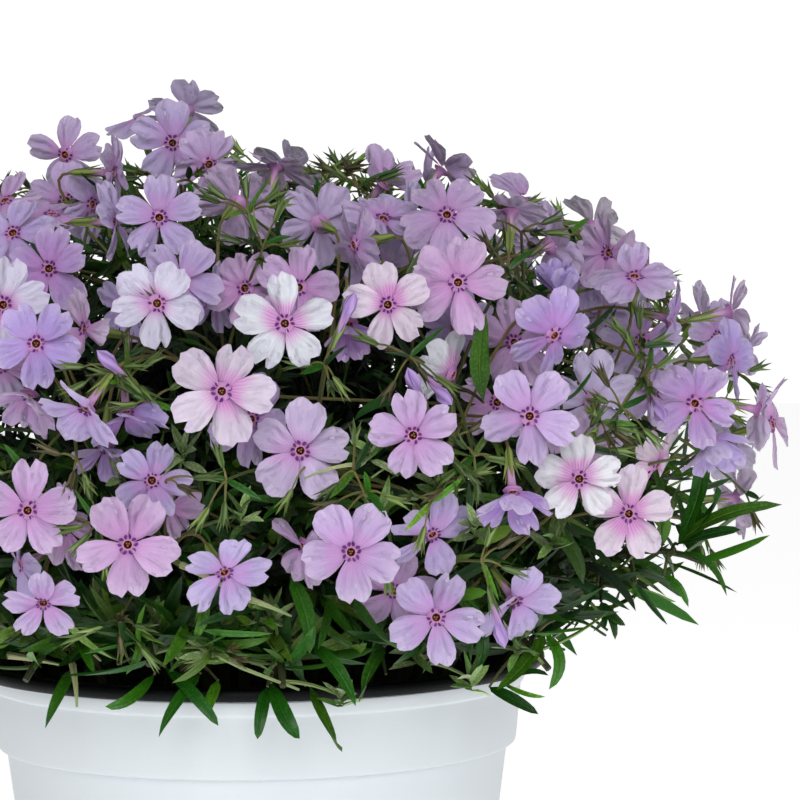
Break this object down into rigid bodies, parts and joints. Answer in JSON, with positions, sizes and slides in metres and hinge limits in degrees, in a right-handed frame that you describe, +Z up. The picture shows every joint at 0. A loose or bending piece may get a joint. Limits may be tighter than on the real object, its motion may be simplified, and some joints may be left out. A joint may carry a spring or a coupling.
{
  "type": "potted creeping phlox",
  "caption": "Mounded creeping phlox in bloom, its stems standing in potting mix in a thin black grower pot inside a white cover pot with a rolled collar.",
  "frame": {"origin": "centre of the cover pot's flat base, on the surface it stands on", "axes": "+Z up along the pot's axis, -Y towards the side the plant is looked at from, +X to the right as seen from there"},
  "size_m": [0.2985, 0.2654, 0.3178],
  "materials": {
    "white_pot": "satin",
    "black_pot": "satin",
    "potting_mix": "matte",
    "flowering_shoot": "matte",
    "leafy_shoot": "matte"
  },
  "bodies": {
    "root": {"cover_pot": "white_pot", "flowering_shoot_01": "flowering_shoot", "flowering_shoot_02": "flowering_shoot", "flowering_shoot_03": "flowering_shoot", "flowering_shoot_04": "flowering_shoot", "flowering_shoot_05": "flowering_shoot", "flowering_shoot_06": "flowering_shoot", "flowering_shoot_07": "flowering_shoot", "flowering_shoot_08": "flowering_shoot", "flowering_shoot_09_17": "flowering_shoot", "flowering_shoot_10": "flowering_shoot", "flowering_shoot_11": "flowering_shoot", "flowering_shoot_12": "flowering_shoot", "flowering_shoot_13": "flowering_shoot", "flowering_shoot_14_19_32": "flowering_shoot", "flowering_shoot_15": "flowering_shoot", "flowering_shoot_16_21": "flowering_shoot", "flowering_shoot_18": "flowering_shoot", "flowering_shoot_20": "flowering_shoot", "flowering_shoot_22_30": "flowering_shoot", "flowering_shoot_23": "flowering_shoot", "flowering_shoot_24": "flowering_shoot", "flowering_shoot_25": "flowering_shoot", "flowering_shoot_26": "flowering_shoot", "flowering_shoot_27": "flowering_shoot", "flowering_shoot_28": "flowering_shoot", "flowering_shoot_29": "flowering_shoot", "flowering_shoot_31": "flowering_shoot", "grower_pot": "black_pot", "leafy_shoot_01": "leafy_shoot", "leafy_shoot_02": "leafy_shoot", "leafy_shoot_03": "leafy_shoot", "leafy_shoot_04": "leafy_shoot", "leafy_shoot_05": "leafy_shoot", "leafy_shoot_06": "leafy_shoot", "leafy_shoot_07": "leafy_shoot", "leafy_shoot_08": "leafy_shoot", "leafy_shoot_09": "leafy_shoot", "leafy_shoot_10": "leafy_shoot", "leafy_shoot_11": "leafy_shoot", "leafy_shoot_12": "leafy_shoot", "leafy_shoot_13": "leafy_shoot", "leafy_shoot_14": "leafy_shoot", "potting_mix": "potting_mix"}
  },
  "joints": []
}
